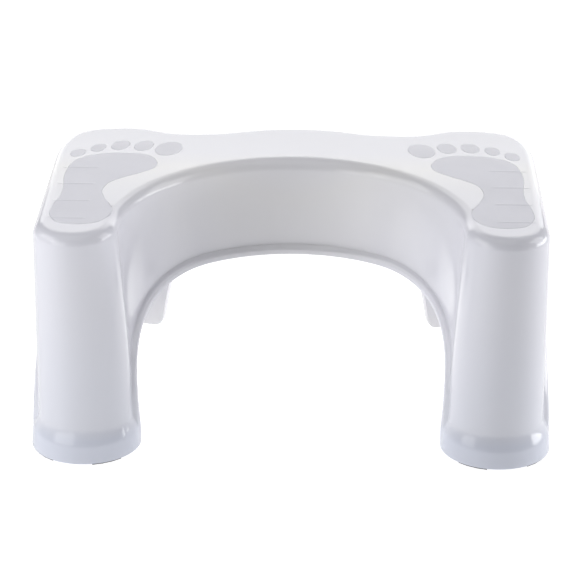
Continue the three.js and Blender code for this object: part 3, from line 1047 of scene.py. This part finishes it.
def rubber_material():
    """Matt black rubber."""
    material, nodes, links, shader = new_material("foot_rubber")
    colour = tinted(nodes, links, noise(nodes, links, *RUBBER_CLOUD_NOISE), *RUBBER_COLOURS)
    links.new(colour.outputs["Color"], shader.inputs["Base Color"])
    finished(
        nodes, links, shader, RUBBER_ROUGHNESS, RUBBER_ROUGHNESS_NOISE, RUBBER_BUMP, RUBBER_BUMP_NOISE
    )
    return material


# Stage, light and camera


def stage_floor():
    """Wide pale floor, brighter for the camera and between the legs, that keeps the shadow."""
    half = FLOOR_SIZE / 2 * METRES
    mesh = bpy.data.meshes.new("floor")
    corners = [(-half, -half, 0), (half, -half, 0), (half, half, 0), (-half, half, 0)]
    mesh.from_pydata(corners, [], [(0, 1, 2, 3)])
    floor = bpy.data.objects.new("floor", mesh)
    bpy.context.scene.collection.objects.link(floor)
    material, nodes, links, shader = new_material("floor_white")
    nodes.remove(shader)
    diffuse = nodes.new("ShaderNodeBsdfDiffuse")
    diffuse.inputs["Color"].default_value = (FLOOR_GREY, FLOOR_GREY, FLOOR_GREY, 1)
    where = nodes.new("ShaderNodeTexCoord")
    gap = nodes.new("ShaderNodeVectorMath")
    gap.operation = "DISTANCE"
    gap.inputs[1].default_value = (0, PATCH_Y * METRES, 0)
    links.new(where.outputs["Object"], gap.inputs[0])
    ramp = nodes.new("ShaderNodeMapRange")
    ramp.interpolation_type = "SMOOTHSTEP"
    ramp.inputs["From Min"].default_value = PATCH_INNER * METRES
    ramp.inputs["From Max"].default_value = PATCH_OUTER * METRES
    ramp.inputs["To Min"].default_value = PATCH_GLOW
    ramp.inputs["To Max"].default_value = FLOOR_GLOW
    links.new(gap.outputs["Value"], ramp.inputs["Value"])
    path = nodes.new("ShaderNodeLightPath")
    brightness = nodes.new("ShaderNodeMath")
    brightness.operation = "MULTIPLY_ADD"
    brightness.inputs[1].default_value = FLOOR_LIFT
    links.new(path.outputs["Is Camera Ray"], brightness.inputs[0])
    links.new(ramp.outputs["Result"], brightness.inputs[2])
    shine = nodes.new("ShaderNodeEmission")
    links.new(brightness.outputs["Value"], shine.inputs["Strength"])
    both = nodes.new("ShaderNodeAddShader")
    links.new(diffuse.outputs["BSDF"], both.inputs[0])
    links.new(shine.outputs["Emission"], both.inputs[1])
    links.new(both.outputs["Shader"], nodes["Material Output"].inputs["Surface"])
    mesh.materials.append(material)


def soft_light(name, azimuth, elevation, distance, width, height, strength):
    """Area lamp that looks at the stool. Azimuth 0 is in front of it and 90 to its right."""
    turn, tilt = math.radians(azimuth), math.radians(elevation)
    way = Vector((math.sin(turn) * math.cos(tilt), -math.cos(turn) * math.cos(tilt), math.sin(tilt)))
    lamp = bpy.data.lights.new(name, "AREA")
    lamp.shape = "RECTANGLE"
    lamp.size = width * METRES
    lamp.size_y = height * METRES
    lamp.energy = strength
    holder = bpy.data.objects.new(name, lamp)
    holder.location = way * distance * METRES + Vector((0, 0, DECK_HEIGHT / 2 * METRES))
    holder.rotation_euler = way.to_track_quat("Z", "Y").to_euler()
    bpy.context.scene.collection.objects.link(holder)


def studio_world():
    """The world's own dark grey where the camera sees past the floor, and no light from it for the rest."""
    world = bpy.data.worlds.new("studio")
    bpy.context.scene.world = world
    world.use_nodes = True
    nodes, links = world.node_tree.nodes, world.node_tree.links
    path = nodes.new("ShaderNodeLightPath")
    links.new(path.outputs["Is Camera Ray"], nodes["Background"].inputs["Strength"])


def photo_camera():
    """The photograph's view: a long lens slightly above the stool."""
    tilt, turn, roll = (math.radians(angle) for angle in CAMERA_ANGLES)
    way = Vector((math.sin(turn) * math.cos(tilt), -math.cos(turn) * math.cos(tilt), math.sin(tilt)))
    right = (-way).cross(Vector((0, 0, 1))).normalized()
    up = right.cross(-way)
    level_right = math.cos(roll) * right + math.sin(roll) * up
    level_up = math.cos(roll) * up - math.sin(roll) * right
    camera = bpy.data.cameras.new("camera")
    camera.lens = CAMERA_LENS
    camera.sensor_width = CAMERA_SENSOR
    camera.clip_end = CAMERA_REACH
    holder = bpy.data.objects.new("camera", camera)
    turned = Matrix((level_right, level_up, way)).transposed().to_4x4()
    holder.matrix_world = Matrix.Translation(Vector(CAMERA_PLACE) * METRES) @ turned
    bpy.context.scene.collection.objects.link(holder)
    bpy.context.scene.camera = holder


def add_piece(name, sheet, material, nodes_replaced):
    """Puts a sheet in the scene as a piece that takes the place of CAD nodes."""
    piece = bpy.data.objects.new(name, sheet.mesh(name))
    bpy.context.scene.collection.objects.link(piece)
    piece.data.materials.append(material)
    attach(piece, "root")
    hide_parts(*nodes_replaced)


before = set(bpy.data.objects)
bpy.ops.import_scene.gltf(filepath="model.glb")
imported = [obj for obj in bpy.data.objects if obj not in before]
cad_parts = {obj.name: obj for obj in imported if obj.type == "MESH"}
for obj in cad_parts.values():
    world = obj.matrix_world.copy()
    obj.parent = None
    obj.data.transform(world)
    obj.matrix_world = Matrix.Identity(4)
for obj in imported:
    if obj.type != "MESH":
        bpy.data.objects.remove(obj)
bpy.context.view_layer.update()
scene = bpy.context.scene
scene.view_settings.view_transform = "Standard"

shell_look = shell_material()
grip_look = grip_material()
rubber_look = rubber_material()

sole = sole_line()
toes = [toe_line(shares) for shares in TOE_SHARES]
shell = shell_sheet([sole, *toes])
ribs = rib_sheet()
first = shell.add(np.vstack(ribs.points), np.vstack(ribs.normals))[0]
shell.faces.extend([[first + corner for corner in face] for face in ribs.faces])
add_piece("shell", shell, shell_look, ["stool_body"])

pads = [("sole_pad", sole)] + [(f"toe_pad_{index + 1}", line) for index, line in enumerate(toes)]
for pad_name, line in pads:
    pad = pad_sheet(line)
    add_piece(f"right_{pad_name}_top", pad, grip_look, [f"right_{pad_name}"])
    add_piece(f"left_{pad_name}_top", other_side(pad), grip_look, [f"left_{pad_name}"])

for node_name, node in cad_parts.items():
    if node_name.endswith("strip"):
        for slot_index in range(len(node.material_slots)):
            node.material_slots[slot_index].link = "OBJECT"
            node.material_slots[slot_index].material = rubber_look

stage_floor()
studio_world()
for lamp in LAMPS:
    soft_light(*lamp)
photo_camera()
